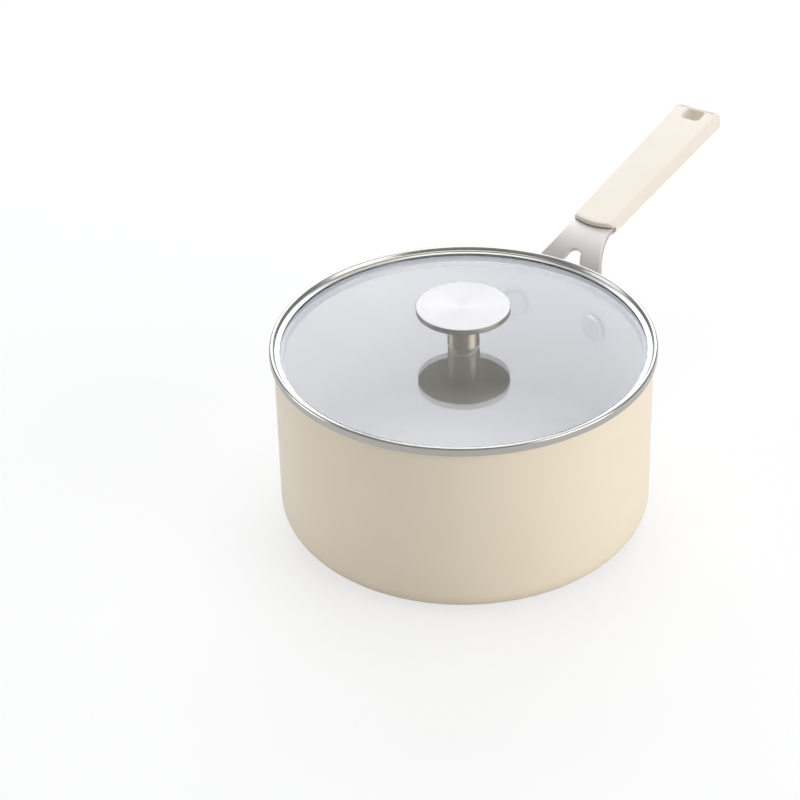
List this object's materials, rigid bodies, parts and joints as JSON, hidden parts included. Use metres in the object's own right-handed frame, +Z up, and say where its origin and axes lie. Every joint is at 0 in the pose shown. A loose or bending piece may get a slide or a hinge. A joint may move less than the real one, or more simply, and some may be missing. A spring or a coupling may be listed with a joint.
{
  "type": "saucepan with glass lid",
  "caption": "Round straight-sided saucepan with one long handle on a forked steel bracket, and a lift-off, nearly flat glass lid with a steel rim and a disc knob.",
  "frame": {"origin": "on the pot's axis, at the underside of the base plate, on the surface the pan stands on", "axes": "+Z up along the pot's axis, +X along the handle away from the pot"},
  "size_m": [0.3691, 0.205, 0.131],
  "materials": {
    "pot_enamel": "cream enamel outside, pale grey-blue ceramic coat inside",
    "base_steel": "turned and brushed",
    "bracket_steel": "satin brushed",
    "rivet_steel": "satin",
    "grip_plastic": "satin cream moulding",
    "screw_steel": "plain zinc",
    "lid_glass": "clear tempered glass",
    "rim_steel": "polished with a brushed flank",
    "knob_steel": "satin turned",
    "seal_silicone": "milky silicone"
  },
  "bodies": {
    "pan": {"pan_body": "pot_enamel", "induction_base_plate": "base_steel", "handle_bracket": "bracket_steel", "rivet_left": "rivet_steel", "rivet_right": "rivet_steel", "grip": "grip_plastic", "grip_screw": "screw_steel"},
    "lid": {"lid_glass": "lid_glass", "lid_rim": "rim_steel", "knob_disc": "knob_steel", "knob_stem": "knob_steel", "knob_gasket_upper": "seal_silicone", "knob_gasket_lower": "seal_silicone", "knob_washer": "screw_steel", "knob_screw": "screw_steel"}
  },
  "joints": [
    {"name": "lid_lift", "type": "slide", "parent": "pan", "child": "lid", "axis": [0, 0, 1], "range_m": [0, 0.12]}
  ]
}
